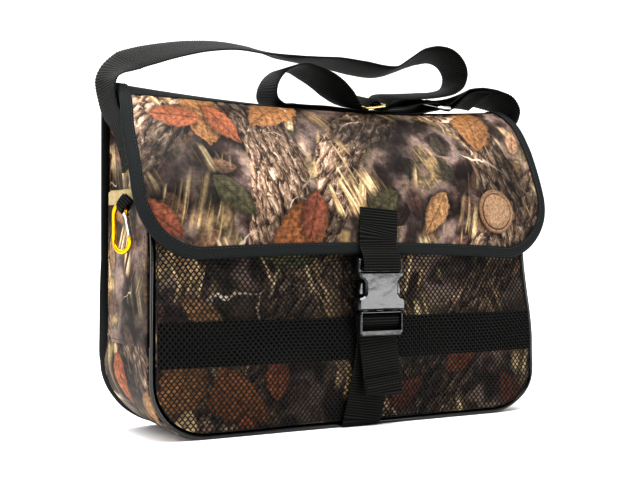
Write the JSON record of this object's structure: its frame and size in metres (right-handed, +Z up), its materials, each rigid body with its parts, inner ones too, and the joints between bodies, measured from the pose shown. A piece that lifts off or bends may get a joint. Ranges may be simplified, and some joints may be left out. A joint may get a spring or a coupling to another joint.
{
  "type": "dummy bag",
  "caption": "Camouflage shoulder bag for dog-training dummies: wedge-shaped cloth body, net front, buckled flap, side pocket, webbing strap and a small carabiner.",
  "frame": {"origin": "middle of the flat base that the bag stands on", "axes": "+Z up, -Y out of the front with the buckle, +X to the right of the front"},
  "size_m": [0.4414, 0.125, 0.3588],
  "materials": {
    "camo_cloth": "coated woven cloth with a slight sheen",
    "net": "coarse knitted net",
    "piping": "glossy vinyl",
    "binding": "woven tape",
    "webbing": "ribbed webbing",
    "plastic": "satin moulded plastic",
    "leather": "natural tan",
    "brass": "plated",
    "steel": "nickel plated",
    "anodised": "yellow anodised",
    "gate": "bare"
  },
  "bodies": {
    "bag": {"back_panel": "camo_cloth", "gusset": "camo_cloth", "front_panel": "camo_cloth", "front_band": "webbing", "net_pocket": "net", "front_piping": "piping", "back_binding": "binding", "flap": "camo_cloth", "flap_binding": "binding", "leather_patch": "leather", "shoulder_strap": "webbing", "short_strap": "webbing", "strap_slider": "brass", "strap_ring": "steel", "flap_strap": "webbing", "buckle_socket": "plastic", "buckle_plug": "plastic", "anchor_strap": "webbing", "side_pocket": "camo_cloth", "carabiner_loop": "webbing", "carabiner_body": "anodised"},
    "gate": {"carabiner_gate": "gate"}
  },
  "joints": [
    {"name": "gate_hinge", "type": "hinge", "parent": "bag", "child": "gate", "pos_m": [-0.20979, -0.0207, 0.1862], "axis": [-0.9397, -0.342, 0], "range_deg": [-24, 0], "stiffness_Nm_per_rad": 0.02, "springref_deg": 28.65}
  ]
}
